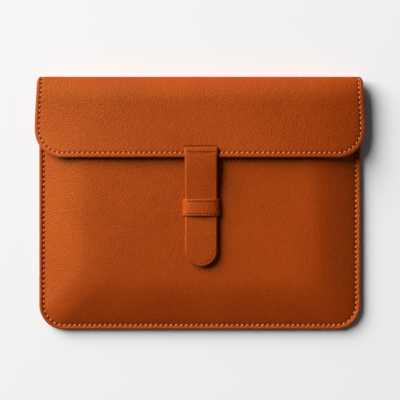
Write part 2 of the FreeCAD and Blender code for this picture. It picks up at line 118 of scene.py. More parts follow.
FOLD_TAPER = 2.6  # the flap is this much narrower at the fold, each side
MID_SPINE_Z = FLAP_TOP_Z / 2
DROOP = 15.5  # the flap's sides hang down by this at the edge
SPRING = 3.8  # the flap's lower edge stands up by this
SPRING_END = 108.0
INNERMOST = 0.001  # last ring of a layer, almost on its middle line

SEAM_D = 5.4  # seam line, from the edge
PITCH = 5.5
THREAD_R = 0.52
FINE_PITCH = 3.9
FINE_R = 0.36
SLANT = math.radians(12)
STITCH_HALF = 1.4
STITCH_RISE = 0.30
INNER_HALF = 2.1  # the seam's other side shows longer, thinner stitches
INNER_R = 0.46
SUNK_THREAD = 0.25  # the thread lies this much deeper where the back meets the table
HOLE_SIZE = 0.70
HOLE_DEPTH = 0.8
# Strength of the painted shade in the needle holes.
HOLE_SHADE = 1.8
UNDERSIDE_RINGS = 12  # rings of an edge profile up to here are turned under
EDGE_STEPS = 3  # rings between two points of an edge profile


# ---- small helpers


def smooth(t):
    """0 below 0, 1 above 1, eased in between."""
    t = np.clip(t, 0.0, 1.0)
    return t * t * (3 - 2 * t)


def ease_curve(points, count):
    """Smooth open curve through a few given points."""
    p = np.array(points, float)
    ends = np.vstack([2 * p[0] - p[1], p, 2 * p[-1] - p[-2]])
    out = []
    for i in range(1, len(ends) - 2):
        a, b, c, d = ends[i - 1 : i + 3]
        for t in np.linspace(0, 1, count, endpoint=False):
            out.append(
                0.5 * (2 * b + (c - a) * t + (2 * a - 5 * b + 4 * c - d) * t**2
                       + (3 * b - a - 3 * c + d) * t**3)
            )
    out.append(p[-1])
    return np.array(out)


def ripple(x, y, size, seed):
    """Slow unevenness between -1 and 1, for arrays of places."""
    flat = zip(np.ravel(x) / size, np.ravel(y) / size)
    values = [noise.noise(Vector((a, b, seed))) for a, b in flat]
    return np.array(values).reshape(np.shape(x))


def make_mesh(name, verts, faces, attributes=None, rest=None):
    """Mesh object from millimetre points; attributes are one number per point."""
    mesh = bpy.data.meshes.new(name)
    mesh.from_pydata((np.asarray(verts) * MM).tolist(), [], faces)
    kept = dict(attributes or {})
    for key, values in kept.items():
        layer = mesh.attributes.new(key, "FLOAT", "POINT")
        layer.data.foreach_set("value", np.asarray(values, np.float32))
    where = np.asarray(verts if rest is None else rest, np.float32) * MM
    layer = mesh.attributes.new("rest", "FLOAT_VECTOR", "POINT")
    layer.data.foreach_set("vector", where.ravel())
    mesh.polygons.foreach_set("use_smooth", [True] * len(mesh.polygons))
    obj = bpy.data.objects.new(name, mesh)
    scene.collection.objects.link(obj)
    return obj


def weld(obj, distance=0.02):
    """Joins points that fall together and drops the faces that vanish."""
    bm = bmesh.new()
    bm.from_mesh(obj.data)
    bmesh.ops.remove_doubles(bm, verts=bm.verts, dist=distance * MM)
    bmesh.ops.dissolve_degenerate(bm, edges=bm.edges, dist=1e-7)
    bm.to_mesh(obj.data)
    bm.free()
    obj.data.polygons.foreach_set("use_smooth", [True] * len(obj.data.polygons))
    obj.data.update()


def thicken(obj, thickness):
    """Gives an open surface its leather thickness, inwards."""
    solid = obj.modifiers.new("thickness", "SOLIDIFY")
    solid.thickness = thickness * MM
    solid.offset = -1.0
    solid.use_rim = True
    return obj


# ---- outlines


def u_line(half_w, low, top, radius, counts):
    """Points down the left side, round the bottom and up the right side."""
    side_n, corner_n, low_n = counts
    side = low + radius
    y = np.linspace(top, side, side_n, endpoint=False)
    turn = np.linspace(0, math.pi / 2, corner_n, endpoint=False)
    flat = np.linspace(-half_w + radius, half_w - radius, low_n, endpoint=False)
    left = np.column_stack([np.full(side_n, -half_w), y])
    corner1 = np.column_stack([-half_w + radius - radius * np.cos(turn), side - radius * np.sin(turn)])
    bottom = np.column_stack([flat, np.full(low_n, low)])
    corner2 = np.column_stack([half_w - radius + radius * np.sin(turn), side - radius * np.cos(turn)])
    up = np.linspace(side, top, side_n + 1)
    right = np.column_stack([np.full(side_n + 1, half_w), up])
    return np.vstack([left, corner1, bottom, corner2, right])


def loop_line(half_w, low, top, low_r, top_r, counts):
    """Closed outline with its own radius at the lower and the upper corners."""
    side_n, corner_n, flat_n = counts
    turn = np.linspace(0, math.pi / 2, corner_n, endpoint=False)
    parts = []
    corners = (
        (-half_w + low_r, low + low_r, low_r, math.pi),
        (half_w - low_r, low + low_r, low_r, 1.5 * math.pi),
        (half_w - top_r, top - top_r, top_r, 0.0),
        (-half_w + top_r, top - top_r, top_r, 0.5 * math.pi),
    )
    for i, (cx, cy, r, start) in enumerate(corners):
        arc = np.column_stack([cx + r * np.cos(start + turn), cy + r * np.sin(start + turn)])
        nx, ny, nr, nstart = corners[(i + 1) % 4]
        a = np.array([cx + r * math.cos(start + math.pi / 2), cy + r * math.sin(start + math.pi / 2)])
        b = np.array([nx + nr * math.cos(nstart), ny + nr * math.sin(nstart)])
        t = np.linspace(0, 1, side_n if i % 2 else flat_n, endpoint=False)[:, None]
        parts += [arc, a + (b - a) * t]
    return np.vstack(parts)


def lengths_along(line):
    """Distance of each point of a line from its start."""
    steps = np.hypot(*np.diff(line, axis=0).T)
    return np.concatenate([[0.0], np.cumsum(steps)])


def ring_faces(rings, count, closed):
    """Quads between neighbouring rings."""
    faces = []
    wrap = count if closed else count - 1
    for i in range(rings - 1):
        for k in range(wrap):
            m = (k + 1) % count
            faces.append((i * count + k, i * count + m, (i + 1) * count + m, (i + 1) * count + k))
    return faces


def holes_on(s, d, size, seam=SEAM_D):
    """How close each point is to a needle hole: 1 in its middle, 0 away from it."""
    along = (s + PITCH / 2) % PITCH - PITCH / 2
    return np.exp(-((along / size) ** 2) - (((d - seam) / (1.25 * size)) ** 2))


def edge_and_shade_darkening(d, seam_d, edge, top_side):
    """Darkening at the outer edge, with painted shade over the whole turned-under side and, faintly,
    in the valley of the seam.
    """
    if not top_side:
        return 0.75
    valley = math.exp(-((d - seam_d) ** 2))
    return 0.04 * valley + edge * math.exp(-((d / 0.5) ** 2))


# ---- thread


def thread_row(name, centres, along, normals, half, radius, rise):
    """Stitches as short strands that arch up from one needle hole and dive into the next."""
    stations = np.linspace(-1, 1, 11)
    sides = 8
    tube = ring_faces(len(stations), sides, True)
    verts, faces, rest = [], [], []
    for c, t, n in zip(centres, along, normals):
        t = t / np.linalg.norm(t)
        n = n - t * np.dot(n, t)
        n = n / np.linalg.norm(n)
        b = np.cross(t, n)
        base = len(verts)
        for u in stations:
            lift = rise * (1 - abs(u) ** 3.2) - radius * 1.2 * abs(u) ** 5
            mid = c + t * half * u + n * lift
            r = radius * (1 - 0.35 * abs(u) ** 4)
            for k in range(sides):
                a = 2 * math.pi * k / sides
                verts.append(mid + (b * math.cos(a) + n * math.sin(a)) * r)
                rest.append((c[0] + half * u, c[1] + r * math.cos(a), r * math.sin(a)))
        end = base + (len(stations) - 1) * sides
        faces += [tuple(base + corner for corner in f) for f in tube]
        faces.append(tuple(base + k for k in reversed(range(sides))))
        faces.append(tuple(end + k for k in range(sides)))
    return make_mesh(name, verts, faces, rest=rest)


def spread(line, place, skip=None):
    """Centres, directions and normals of stitches along a seam drawn in flat leather."""
    s = lengths_along(line)
    count = int(round(s[-1] / PITCH))
    centres, dirs, normals = [], [], []
    step = 0.2
    ca, sa = math.cos(SLANT), math.sin(SLANT)
    for j in range(count):
        mid = (j + 0.5) * PITCH
        if mid + PITCH / 2 > s[-1]:
            break
        p = np.array([np.interp(mid, s, line[:, 0]), np.interp(mid, s, line[:, 1])])
        q = np.array([np.interp(mid + step, s, line[:, 0]), np.interp(mid + step, s, line[:, 1])])
        if skip is not None and skip(p):
            continue
        t = (q - p) / np.linalg.norm(q - p)
        t = np.array([t[0] * ca - t[1] * sa, t[0] * sa + t[1] * ca])
        o = place(p[0], p[1])
        along = place(p[0] + t[0] * step, p[1] + t[1] * step) - o
        across = place(p[0] - t[1] * step, p[1] + t[0] * step) - o
        centres.append(o)
        dirs.append(along)
        normals.append(np.cross(along, across))
    return centres, dirs, normals


def seam_row(name, line, place, half, radius, rise, skip=None, below=False):
    """Stitches along a seam; below puts them on the other side of the leather."""
    centres, dirs, normals = spread(line, place, skip)
    if below:
        normals = [-n for n in normals]
    row = thread_row(name, centres, dirs, normals, half, radius, rise)
    return finish_piece(row, ORANGE)


# ---- materials


def graph(name):
    """New node material with its shader, and short ways to add nodes."""
    mat = bpy.data.materials.new(name)
    mat.use_nodes = True
    tree = mat.node_tree
    shader = tree.nodes["Principled BSDF"]

    def add(kind, **settings):
        node = tree.nodes.new(kind)
        for key, value in settings.items():
            if key in node.inputs:
                node.inputs[key].default_value = value
            else:
                setattr(node, key, value)
        return node

    return mat, tree.links.new, add, shader


def attribute(add, name):
    """Reads one of the numbers stored at the points of a mesh."""
    node = add("ShaderNodeAttribute")
    node.attribute_name = name
    return node


def on_rest(add, link, *textures):
    """Lays textures on the flat, unbent shape of the piece."""
    rest = attribute(add, "rest").outputs["Vector"]
    for node in textures:
        link(rest, node.inputs["Vector"])


def ramp(add, stops):
    """Colour ramp from (position, colour) pairs."""
    node = add("ShaderNodeValToRGB")
    items = node.color_ramp.elements
    while len(items) < len(stops):
        items.new(0.5)
    for item, (at, colour) in zip(items, stops):
        item.position = at
        item.color = (*colour, 1.0)
    return node


def blend_colour(add, link, mode, a, b, factor):
    """Mixes two colours; factor is a number or an output."""
    node = add("ShaderNodeMix")
    node.data_type = "RGBA"
    node.blend_type = mode
    if isinstance(factor, (int, float)):
        node.inputs[0].default_value = factor
    else:
        link(factor, node.inputs[0])
    for socket, value in ((node.inputs[6], a), (node.inputs[7], b)):
        if isinstance(value, tuple):
            socket.default_value = (*value, 1.0)
        else:
            link(value, socket)
    return node.outputs[2]


def scaled(add, link, value, factor, extra=0.0):
    """value * factor + extra."""
    node = add("ShaderNodeMath", operation="MULTIPLY_ADD")
    link(value, node.inputs[0])
    node.inputs[1].default_value = factor
    node.inputs[2].default_value = extra
    return node.outputs[0]


def total(add, link, a, b):
    """a + b."""
    node = add("ShaderNodeMath", operation="ADD")
    link(a, node.inputs[0])
    link(b, node.inputs[1])
    return node.outputs[0]


def paint(link, shader, tone, dye):
    """Sends a tone through a colour ramp to the surface colour."""
    link(tone, dye.inputs[0])
    link(dye.outputs[0], shader.inputs["Base Color"])


def emboss(add, link, shader, height, strength, depth):
    """Bump of the given depth, in millimetres."""
    bump = add("ShaderNodeBump", Strength=strength, Distance=depth * MM)
    link(height, bump.inputs["Height"])
    link(bump.outputs[0], shader.inputs["Normal"])


def leather_material(name, dark, mid, light, rough=0.51):
    """Fine pebbled leather: mottled dye, pores, soft creases, darker edges, and painted shade on
    undersides, in grooves and in needle holes.
    """
    mat, link, add, shader = graph(name)
    broad = add("ShaderNodeTexNoise", Scale=16.0, Detail=3.0, Roughness=0.55)
    cloudy = add("ShaderNodeTexNoise", Scale=150.0, Detail=5.0, Roughness=0.62)
    pebble = add("ShaderNodeTexVoronoi", Scale=820.0, Randomness=0.95)
    pebble.feature = "SMOOTH_F1"
    pebble.inputs["Smoothness"].default_value = 0.35
    pore = add("ShaderNodeTexVoronoi", Scale=1500.0, Randomness=1.0)
    fine = add("ShaderNodeTexNoise", Scale=900.0, Detail=4.0, Roughness=0.6)
    on_rest(add, link, broad, cloudy, pebble, pore, fine)
    tone = total(add, link, scaled(add, link, broad.outputs[0], 0.35),
                 scaled(add, link, cloudy.outputs[0], 0.25))
    tone = total(add, link, tone, scaled(add, link, fine.outputs[0], 0.65, -0.1))
    dye = ramp(add, [(0.38, dark), (0.53, mid), (0.72, light)])
    link(tone, dye.inputs[0])
    grainy = ramp(add, [(0.0, (1.0, 1.0, 1.0)), (0.75, (0.80, 0.76, 0.72))])
    link(pebble.outputs["Distance"], grainy.inputs[0])
    colour = blend_colour(add, link, "MULTIPLY", dye.outputs[0], grainy.outputs[0], 0.85)
    # Darkens the leather at its edges and paints shade on the undersides, in the seam grooves and
    # where the strap meets the flap.
    dark_edge_and_shade_tone = tuple(0.42 * c for c in dark)
    colour = blend_colour(add, link, "MIX", colour, dark_edge_and_shade_tone, attribute(add, "dark_edge_and_shade").outputs["Fac"])
    # Paints shade into the needle holes.
    hole_shade_tone = tuple(0.28 * c for c in dark)
    colour = blend_colour(add, link, "MIX", colour, hole_shade_tone, attribute(add, "hole").outputs["Fac"])
    link(colour, shader.inputs["Base Color"])
    dull = scaled(add, link, cloudy.outputs[0], 0.22, rough - 0.11)
    link(dull, shader.inputs["Roughness"])
    shader.inputs["Specular IOR Level"].default_value = 0.44
    shader.inputs["Specular Tint"].default_value = (1.0, 0.77, 0.20, 1.0)
    height = total(add, link, scaled(add, link, pebble.outputs["Distance"], -1.0),
                   scaled(add, link, fine.outputs[0], 0.55))
    height = total(add, link, height, scaled(add, link, pore.outputs["Distance"], 0.25))
    height = total(add, link, height, scaled(add, link, cloudy.outputs[0], 0.25))
    emboss(add, link, shader, height, 0.9, 0.46)
    return mat


def cloth_material(name, dark, light):
    """Short-napped microfibre lining."""
    mat, link, add, shader = graph(name)
    patch = add("ShaderNodeTexNoise", Scale=45.0, Detail=4.0, Roughness=0.6)
    fibre = add("ShaderNodeTexNoise", Scale=900.0, Detail=5.0, Roughness=0.7)
    on_rest(add, link, patch, fibre)
    tone = total(add, link, scaled(add, link, patch.outputs[0], 0.6),
                 scaled(add, link, fibre.outputs[0], 0.5))
    paint(link, shader, tone, ramp(add, [(0.4, dark), (0.7, light)]))
    shader.inputs["Roughness"].default_value = 0.92
    shader.inputs["Specular IOR Level"].default_value = 0.2
    shader.inputs["Sheen Weight"].default_value = 0.2
    shader.inputs["Sheen Tint"].default_value = (1.0, 0.72, 0.5, 1.0)
    shader.inputs["Sheen Roughness"].default_value = 0.5
    emboss(add, link, shader, fibre.outputs[0], 0.5, 0.15)
    return mat


def thread_material(name, dark, light):
    """Waxed thread, with the twist of its plies."""
    mat, link, add, shader = graph(name)
    twist = add("ShaderNodeTexWave", Scale=260.0, Distortion=0.6, Detail=1.0)
    twist.bands_direction = "DIAGONAL"
    fuzz = add("ShaderNodeTexNoise", Scale=2400.0, Detail=3.0)
    vary = add("ShaderNodeTexNoise", Scale=110.0, Detail=2.0)
    on_rest(add, link, twist, fuzz, vary)
    tone = total(add, link, scaled(add, link, twist.outputs["Fac"], 0.35),
                 scaled(add, link, vary.outputs[0], 0.75))
    paint(link, shader, tone, ramp(add, [(0.25, dark), (0.75, light)]))
    shader.inputs["Roughness"].default_value = 0.6
    shader.inputs["Specular IOR Level"].default_value = 0.12
    shader.inputs["Specular Tint"].default_value = (1.0, 0.60, 0.25, 1.0)
    height = total(add, link, twist.outputs["Fac"], scaled(add, link, fuzz.outputs[0], 0.5))
    emboss(add, link, shader, height, 0.5, 0.12)
    return mat


def foam_material(name):
    """Closed-cell foam with fine round cells."""
    mat, link, add, shader = graph(name)
    cells = add("ShaderNodeTexVoronoi", Scale=1600.0)
    mottled = add("ShaderNodeTexNoise", Scale=60.0, Detail=3.0)
    on_rest(add, link, cells, mottled)
    dye = ramp(add, [(0.3, (0.42, 0.40, 0.37)), (0.7, (0.60, 0.58, 0.54))])
    paint(link, shader, mottled.outputs[0], dye)
    shader.inputs["Roughness"].default_value = 0.9
    emboss(add, link, shader, cells.outputs["Distance"], 0.6, 0.2)
    return mat


def board_material(name):
    """Dense fibre board with flecks."""
    mat, link, add, shader = graph(name)
    fleck = add("ShaderNodeTexNoise", Scale=420.0, Detail=6.0, Roughness=0.7)
    on_rest(add, link, fleck)
    dye = ramp(add, [(0.35, (0.20, 0.16, 0.12)), (0.65, (0.34, 0.28, 0.22))])
    paint(link, shader, fleck.outputs[0], dye)
    shader.inputs["Roughness"].default_value = 0.8
    emboss(add, link, shader, fleck.outputs[0], 0.4, 0.1)
    return mat


TAN = leather_material(
    "tan_leather", (0.37, 0.038, 0.0013), (0.44, 0.050, 0.0019), (0.51, 0.065, 0.0032)
)
UNDER = leather_material(
    "under_leather", (0.22, 0.030, 0.002), (0.28, 0.042, 0.003), (0.34, 0.058, 0.006), rough=0.65
)
MICROFIBRE = cloth_material("lining", (0.085, 0.036, 0.016), (0.16, 0.075, 0.034))
ORANGE = thread_material("seam_thread", (0.62, 0.19, 0.06), (0.86, 0.37, 0.16))
BROWN = thread_material("fine_thread", (0.13, 0.013, 0.0006), (0.22, 0.026, 0.0012))
FOAM_MAT = foam_material("padding")
BOARD_MAT = board_material("board")


def finish_piece(obj, material):
    """Gives a piece its material."""
    obj.data.materials.append(material)
    return obj


def skin(name, verts, thickness, material, marks=None, rest=None, flip=False):
    """Open layer through rings of points, welded and given its thickness."""
    faces = ring_faces(len(verts), len(verts[0]), False)
    if flip:
        faces = [tuple(reversed(f)) for f in faces]
    joined = {key: np.concatenate(rows) for key, rows in (marks or {}).items()}
    obj = make_mesh(name, np.vstack(verts), faces, joined, None if rest is None else np.vstack(rest))
    weld(obj)
    thicken(obj, thickness)
    return finish_piece(obj, material)


# ---- pouch front


def dome(d):
    """Outer surface of the front panel, from the seam inwards."""
    slope = np.clip((d - RIM_W) / (CROWN_D - RIM_W), 0, 1)
    broad = np.clip((d - RIM_W) / (POUCH_W - RIM_W), 0, 1)
    near = np.clip((d - RIM_W) / LIP_W, 0, 1)
    share = 0.68 * (1 - (1 - slope) ** DOME_POWER) + 0.32 * (1 - (1 - broad) ** 2.0)
    foot = RIM_TOP_Z - SEAM_SINK
    crown = (TOP_Z - foot - LIP_RISE) * share
    return foot + crown + LIP_RISE * (1 - (1 - near) ** 2)


def mouth_dip(y):
    """The front comes down towards the mouth, where the padding ends."""
    return 3.5 * smooth((y - 88.0) / 34.0)


def settle(y):
    """The rim comes down to the table near the mouth."""
    return RIM_Z * smooth((y - RIM_DOWN_Y) / RIM_DOWN_LEN)


def pouch_line(d, top, counts):
    """Outline of the pouch, drawn in by d."""
    w = max(POUCH_W - d, 0.0)
    low = BOTTOM_Y + d
    radius = min(max(CORNER_R - d, CORNER_R - RIM_W), w, top - low)
    return u_line(w, low, top, radius, counts)


POUCH_COUNTS = (338, 50, 428)

# across the rim: distance from the edge and height over RIM_Z, from the turned-under edge inwards
RIM_EDGE = (
    (3.2, 0.25), (1.5, 0.02), (0.45, 0.3), (0.0, 1.2), (0.4, 2.8), (1.1, 3.95), (2.0, 4.45),
    (3.3, 4.25), (4.5, 3.78), (5.4, 3.55), (6.4, 3.7),
)
RIM_SHAPE = ease_curve(
    [(d, RIM_Z + h) for d, h in RIM_EDGE] + [(d, float(dome(d))) for d in (8.0, 9.2, 10.5)],
    EDGE_STEPS,
)
INNER_STEPS = (
    12, 14, 16.5, 19, 22, 25, 28.5, 32, 36, 40, 45, 50, 56, 63, 71, 80, 90, 101, 113, 126, 140, 156
)


def front_profile():
    """(inset, height) of every ring of the front leather."""
    rings = [tuple(p) for p in RIM_SHAPE]
    rings += [(float(d), float(dome(d))) for d in INNER_STEPS]
    rings.append((POUCH_W - INNERMOST, TOP_Z))
    return rings


def padded_share(d):
    """0 at the rim, 1 where the padding is at its full height."""
    return smooth((d - PAD_START) / PAD_EASE)


def front_surface(x, y, d, h):
    """Adds what isn't the same all along the edge to a ring height."""
    inside = padded_share(d)
    z = h - settle(y) * (1 - smooth(d / 16.0))
    return z + 0.22 * inside * ripple(x, y, 62.0, 3.1) - inside * mouth_dip(y)


def front_panel():
    """Domed front leather, with the seam pulled down at every needle hole."""
    seam = lengths_along(pouch_line(SEAM_D, MOUTH_Y, POUCH_COUNTS))
    verts, hole, dark_edge_and_shade = [], [], []
    for i, (d, h) in enumerate(front_profile()):
        line = pouch_line(d, MOUTH_Y, POUCH_COUNTS)
        x, y = line[:, 0], line[:, 1]
        z = front_surface(x, y, d, h)
        top_side = i > UNDERSIDE_RINGS
        near = holes_on(seam, d, HOLE_SIZE) if top_side else np.zeros(len(x))
        z = z - HOLE_DEPTH * near
        if top_side and 3.0 < d < 9.0:
            swell = 0.10 * np.cos(2 * math.pi * (seam + PITCH / 2) / PITCH)
            z = z + swell * math.exp(-((d - 3.6) / 1.2) ** 2)
        groove = smooth((POUCH_W - 30 - np.abs(x)) / 6.0) * np.exp(-(((y - MOUTH_ROW_Y) / 0.8) ** 2))
        z = z - 0.45 * groove - 0.5 * smooth((y - MOUTH_Y + 1.2) / 1.2)
        verts.append(np.column_stack([x, y, np.maximum(z, TABLE_GAP)]))
        # Painted shade in the needle holes; darker outer edge, with painted shade under the rim and in
        # the seam valley.
        hole.append(np.clip(HOLE_SHADE * near, 0, 1))
        dark_edge_and_shade.append(np.full(len(x), edge_and_shade_darkening(d, SEAM_D, 0.55, top_side)))
    marks = {"hole": hole, "dark_edge_and_shade": dark_edge_and_shade}
    return skin("front_panel_leather", verts, SHOWN_LEATHER, TAN, marks)


def front_seam():
    """Thread on the front of the rim."""
    line = pouch_line(SEAM_D, MOUTH_Y, POUCH_COUNTS)

    def place(x, y):
        return np.array([x, y, RIM_Z + 3.68 - float(settle(y))])

    return seam_row("front_seam_thread", line, place, STITCH_HALF, THREAD_R, STITCH_RISE)


def inner_front(name, drop, share_of, end, thickness, steps, material):
    """A layer under the front leather, lowered from the domed surface."""
    counts = (96, 16, 120)
    verts, blank = [], []
    for d in steps:
        line = pouch_line(d, end, counts)
        x, y = line[:, 0], line[:, 1]
        base = dome(d) if d > RIM_W else RIM_TOP_Z
        foam = FOAM * share_of(d) * (1 - smooth((y - MOUTH_Y + 16.0) / 8.0))
        z = front_surface(x, y, d, np.minimum(base, TOP_Z) - drop - foam)
        verts.append(np.column_stack([x, y, z]))
        blank.append(np.zeros(len(x)))
    return skin(name, verts, thickness, material, {"hole": blank, "dark_edge_and_shade": blank})


def padding_share(d):
    """0 on the rim, 1 where the foam has its full thickness."""
    return min(max((d - RIM_W) / 8.0, 0.0), 1.0)


PAD_STEPS = (11, 13, 16, 20, 25, 31, 38, 46, 56, 70, 90, 115, 145, POUCH_W - INNERMOST)


def front_lining():
    """Lining behind the padding, out to the seam."""
    steps = (1.6, 3.5, 5.5, 7, 9, *PAD_STEPS)
    end = MOUTH_Y - 0.5
    return inner_front(
        "front_lining_cloth", 1.75, padding_share, end, SHOWN_LINING, steps, MICROFIBRE
    )


def front_padding():
    """Foam pad behind the front leather; it stops short of the mouth."""
    steps = (9.5, *PAD_STEPS)
    end = MOUTH_Y - 14.0
    return inner_front("front_padding_foam", 1.55, lambda d: 0.0, end, 1.7, steps, FOAM_MAT)


def mouth_thread():
    """Row along the mouth that holds the lining."""
    reach = 116.0
    line = np.column_stack([np.linspace(-reach, reach, 400), np.full(400, MOUTH_ROW_Y)])

    def place(px, py):
        d = POUCH_W - abs(px)
        return np.array([px, py, float(dome(d)) - 0.42 - float(mouth_dip(py) * padded_share(d))])

    row = thread_row("mouth_thread", *spread(line, place), 2.0, 0.42, 0.12)
    return finish_piece(row, BROWN)


# ---- the fold


def back_fold(v):
    """Outer line of the back leather as it turns up into the spine: y, z and outward normal."""
    cy = FOLD_Y - BEND_R
    quarter = BEND_R * math.pi / 2
    a = np.clip((v - cy) / BEND_R, 0, math.pi / 2)
    past = np.maximum(v - cy - quarter, 0)
    y = np.where(v <= cy, v, cy + BEND_R * np.sin(a))
    z = BEND_R * (1 - np.cos(a)) + past
    return y, z, np.sin(a), -np.cos(a)


BACK_END = FOLD_Y - BEND_R + BEND_R * math.pi / 2 + MID_SPINE_Z - BEND_R


TIGHT_BEND = math.pi / 2 - SOFT_BEND
SOFT_LEN = SOFT_BEND_R * SOFT_BEND
TIGHT_LEN = TIGHT_BEND_R * TIGHT_BEND
SOFT_Y = FOLD_Y - TIGHT_BEND_R * (1 - math.cos(TIGHT_BEND)) - SOFT_BEND_R * math.sin(SOFT_BEND)
BENDS_END_Z = (
    FLAP_TOP_Z - SOFT_BEND_R * (1 - math.cos(SOFT_BEND)) - TIGHT_BEND_R * math.sin(TIGHT_BEND)
)
# length of the flap leather, measured along it, up to mid-spine
FLAP_END = SOFT_Y + SOFT_LEN + TIGHT_LEN + BENDS_END_Z - MID_SPINE_Z


def flap_fold(v):
    """Outer line of the flap leather, from the flap over both bends to mid-spine."""
    a = np.clip((v - SOFT_Y) / SOFT_BEND_R, 0, SOFT_BEND)
    b = np.clip((v - SOFT_Y - SOFT_LEN) / TIGHT_BEND_R, 0, TIGHT_BEND)
    past = np.maximum(v - SOFT_Y - SOFT_LEN - TIGHT_LEN, 0)
    turn = a + b
    y = np.minimum(v, SOFT_Y) + SOFT_BEND_R * np.sin(a)
    y = y + TIGHT_BEND_R * (np.sin(turn) - np.sin(a))
    z = FLAP_TOP_Z - SOFT_BEND_R * (1 - np.cos(a))
    z = z - TIGHT_BEND_R * (np.cos(a) - np.cos(turn)) - past
    return y, z, np.sin(turn), np.cos(turn)


def droop(x, v):
    """How far the flap hangs down at its sides."""
    reach = np.abs(x) / (FLAP_W + 2)
    share = FOLD_DROOP + (1 - FOLD_DROOP) * smooth((FOLD_Y - 5.0 - v) / 70.0)
    height = (flap_fold(v)[1] - MID_SPINE_Z) / (FLAP_TOP_Z - MID_SPINE_Z)
    return DROOP * reach**4 * share * np.clip(height, 0, 1)


def draw_in(x, half):
    """How far the ends of the fold are rounded off, seen from above."""
    t = np.clip((np.abs(x) - half + FOLD_CORNER_R) / FOLD_CORNER_R, 0, 0.96)
    return FOLD_CORNER_R * (1 - np.sqrt(1 - t * t))


def spring(v):
    """The flap's lower edge stands a little off the front."""
    return SPRING * np.clip((SPRING_END - v) / (SPRING_END - FLAP_EDGE_Y), 0, 1) ** 1.3


def flap_point(x, v, h):
    """Place of a point of the flap: x and v on its flat leather, h above its outer face."""
    x, v, h = (np.asarray(a, float) for a in (x, v, h))
    narrow = FOLD_TAPER * smooth((v - 80.0) / 55.0)
    narrow = narrow + (FLAP_W - FOLD_TAPER - FOLD_W) * smooth((v - FOLD_Y + 2.0) / 10.0)
    taper = 1 - narrow / FLAP_W
    y, z, ny, nz = flap_fold(v)
    e = 0.05
    slope = (droop(x + e, v) - droop(x - e, v)) / (2 * e)
    nx = slope / np.hypot(1.0, slope)
    flat = 1 / np.hypot(1.0, slope)
    px = x * taper + nx * h
    py = y + ny * h * flat - draw_in(x, FLAP_W) * smooth((v - FOLD_Y + 12.0) / 12.0)
    pz = z - droop(x, v) + spring(v) + nz * h * flat
    return np.stack(np.broadcast_arrays(px, py, pz), axis=-1)


def back_point(x, v, h):
    """Place of a point of the back: h is outwards, so downwards under the pouch."""
    x, v, h = (np.asarray(a, float) for a in (x, v, h))
    widen = 1 + (FOLD_W - POUCH_W + 1.2) / POUCH_W * smooth((v - MOUTH_Y + 3.0) / 6.0)
    y, z, ny, nz = back_fold(v)
    py = y + ny * h - draw_in(x, POUCH_W - 1.2) * smooth((v - FOLD_Y + 12.0) / 12.0)
    return np.stack(np.broadcast_arrays(x * widen, py, z + nz * h), axis=-1)


# ---- flap

FLAP_COUNTS = (90, 60, 420)

# across the edge of the flap: distance from the edge and height over the outer face
FLAP_EDGE = ease_curve(
    [(3.4, -2.72), (1.6, -2.85), (0.5, -2.6), (0.0, -1.5), (0.3, -0.45), (0.9, 0.08), (1.7, 0.33),
     (3.0, 0.4), (4.3, 0.0), (5.4, -0.36), (6.4, -0.25), (7.6, -0.06), (9.0, 0.0), (10.5, 0.02)],
    EDGE_STEPS,
)
ROOT_D = ROOT_Y - FLAP_EDGE_Y  # top edge of the strap, from the flap's lower edge
FLAP_STEPS = sorted(
    [d for d in (13, 16, 20, 25, 31, 36, *range(39, 67, 3)) if not ROOT_D - 1.0 < d < ROOT_D + 2.6]
    + [float(d) for d in np.arange(max(ROOT_D - 0.8, 10.9), ROOT_D + 2.4, 0.4)]
)


def flap_line(d, counts=FLAP_COUNTS, end=None):
    """Outline of the flap's flat leather, drawn in by d."""
    end = FLAP_END if end is None else end
    w = FLAP_W - d
    low = FLAP_EDGE_Y + d
    radius = max(min(max(FLAP_CORNER_R - d, 18.0), end - low), 0.0)
    return u_line(w, low, end, radius, counts)


def flap_leather():
    """Outer leather of the flap and the upper half of the spine, in one piece."""
    depth = FLAP_END - FLAP_EDGE_Y
    rings = [tuple(p) for p in FLAP_EDGE] + [(d, 0.02) for d in FLAP_STEPS]
    rings += [(d, 0.02) for d in np.linspace(FLAP_STEPS[-1] + 1.2, depth, 25)]
    seam = lengths_along(flap_line(SEAM_D))
    verts, hole, dark_edge_and_shade, rest = [], [], [], []
    for i, (d, h) in enumerate(rings):
        line = flap_line(d)
        x, v = line[:, 0], line[:, 1]
        top_side = i > UNDERSIDE_RINGS
        clear = smooth((np.abs(x - STRAP_X) - STRAP_W - 0.8) / 0.8) if d < ROOT_D else 1.0
        near = holes_on(seam, d, HOLE_SIZE) * clear if top_side else np.zeros(len(x))
        lift = h + 0.14 * smooth((d - 9.0) / 20.0) * ripple(x, v, 48.0, 7.7) - HOLE_DEPTH * near
        # A groove along the strap's top edge on the flap, darkened below as painted shade where the
        # strap meets the flap.
        beside = smooth((STRAP_W + 1.5 - np.abs(x - STRAP_X)) / 1.0)
        sunk = np.exp(-(((v - ROOT_Y - 0.6) / 0.75) ** 2)) * beside
        lift = lift - 0.5 * sunk
        verts.append(flap_point(x, v, lift))
        rest.append(np.column_stack([x, v + 300.0, lift]))
        # Painted shade in the needle holes; darker outer edge, with painted shade under the edge, in
        # the seam valley and in the groove by the strap.
        hole.append(np.clip(HOLE_SHADE * near, 0, 1))
        dark_edge_and_shade.append(np.clip(edge_and_shade_darkening(d, SEAM_D, 0.45, top_side) + 0.95 * sunk, 0, 1))
    marks = {"hole": hole, "dark_edge_and_shade": dark_edge_and_shade}
    return skin("flap_leather_outer", verts, SHOWN_LEATHER, TAN, marks, rest)


